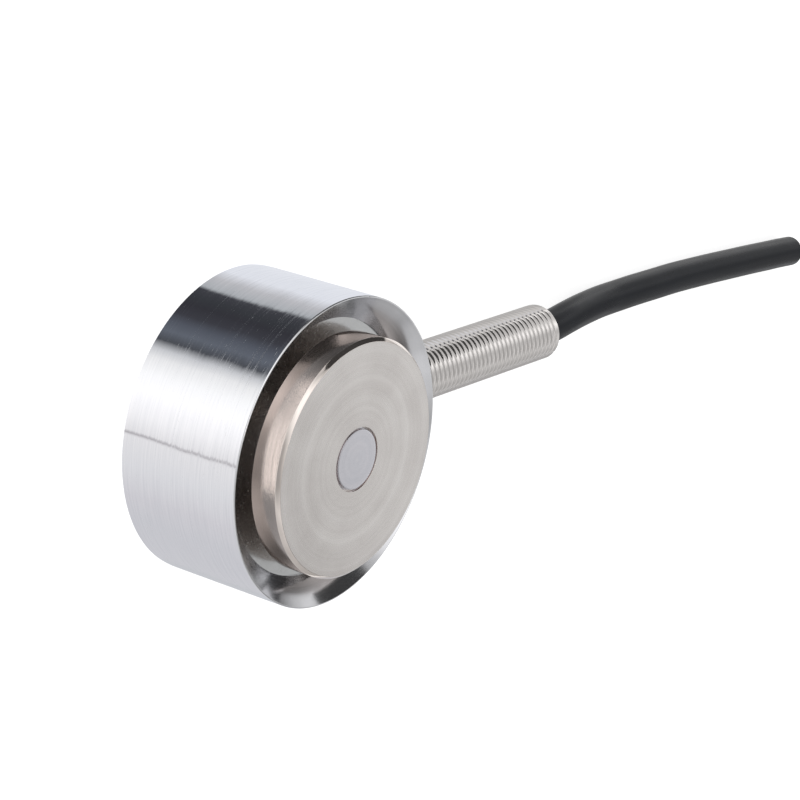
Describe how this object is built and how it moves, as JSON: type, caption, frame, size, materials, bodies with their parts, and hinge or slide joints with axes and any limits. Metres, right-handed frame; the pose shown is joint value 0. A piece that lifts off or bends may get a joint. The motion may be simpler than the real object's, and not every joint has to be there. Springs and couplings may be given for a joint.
{
  "type": "miniature load cell",
  "caption": "Small drum-shaped compression load cell with a proud round load disc in a funnel recess, a threaded radial cable sleeve and a short screened cable.",
  "frame": {"origin": "centre of the flat base face that the drum stands on", "axes": "+Z along the drum's axis, from the base to the load face; +X along the cable sleeve, away from the drum"},
  "size_m": [0.1637, 0.04, 0.021],
  "materials": {
    "polished_steel": "fine turned and polished stainless steel",
    "turned_steel": "face-turned stainless steel, satin",
    "stud_steel": "ground hardened steel",
    "element_steel": "turned stainless steel",
    "threaded_steel": "bright cut thread",
    "gauge_film": "amber polyimide film",
    "gauge_foil": "etched resistance foil",
    "solder": "bright solder",
    "enamelled_copper": "enamelled copper wire",
    "copper": "bare stranded copper",
    "adhesive": "soft grey adhesive pad",
    "board_laminate": "green solder resist on glass laminate",
    "chip_body": "black glazed chip with tinned ends",
    "chip_body_blue": "blue coated chip with tinned ends",
    "bush_rubber": "black rubber",
    "ferrule_brass": "plain brass",
    "potting_resin": "cast epoxy resin",
    "jacket_black": "satin black polyurethane jacket",
    "braid_copper": "tinned copper braid",
    "filler_cotton": "cotton string",
    "insulation_red": "red core insulation",
    "insulation_black": "black core insulation",
    "insulation_green": "green core insulation",
    "insulation_white": "white core insulation"
  },
  "bodies": {
    "root": {"housing": "polished_steel", "sensing_element": "element_steel", "load_disc": "turned_steel", "centre_stud": "stud_steel", "base_cover": "turned_steel", "strain_gauge_1": "gauge_film", "strain_gauge_2": "gauge_film", "strain_gauge_3": "gauge_film", "strain_gauge_4": "gauge_film", "gauge_grid_1": "gauge_foil", "gauge_grid_2": "gauge_foil", "gauge_grid_3": "gauge_foil", "gauge_grid_4": "gauge_foil", "gauge_leads_1": "enamelled_copper", "gauge_leads_2": "enamelled_copper", "gauge_leads_3": "enamelled_copper", "gauge_leads_4": "enamelled_copper", "gauge_solder": "solder", "adhesive_pad": "adhesive", "bridge_board": "board_laminate", "board_solder": "solder", "trim_resistor_1": "chip_body", "trim_resistor_2": "chip_body", "trim_resistor_3": "chip_body", "temperature_resistor": "chip_body_blue", "cable_sleeve": "threaded_steel", "sealing_bush": "bush_rubber", "crimp_ferrule": "ferrule_brass", "potting_plug": "potting_resin", "cable_jacket": "jacket_black", "cable_shield": "braid_copper", "cable_filler": "filler_cotton", "core_red": "insulation_red", "core_black": "insulation_black", "core_green": "insulation_green", "core_white": "insulation_white", "conductor_red": "copper", "conductor_black": "copper", "conductor_green": "copper", "conductor_white": "copper"}
  },
  "joints": []
}
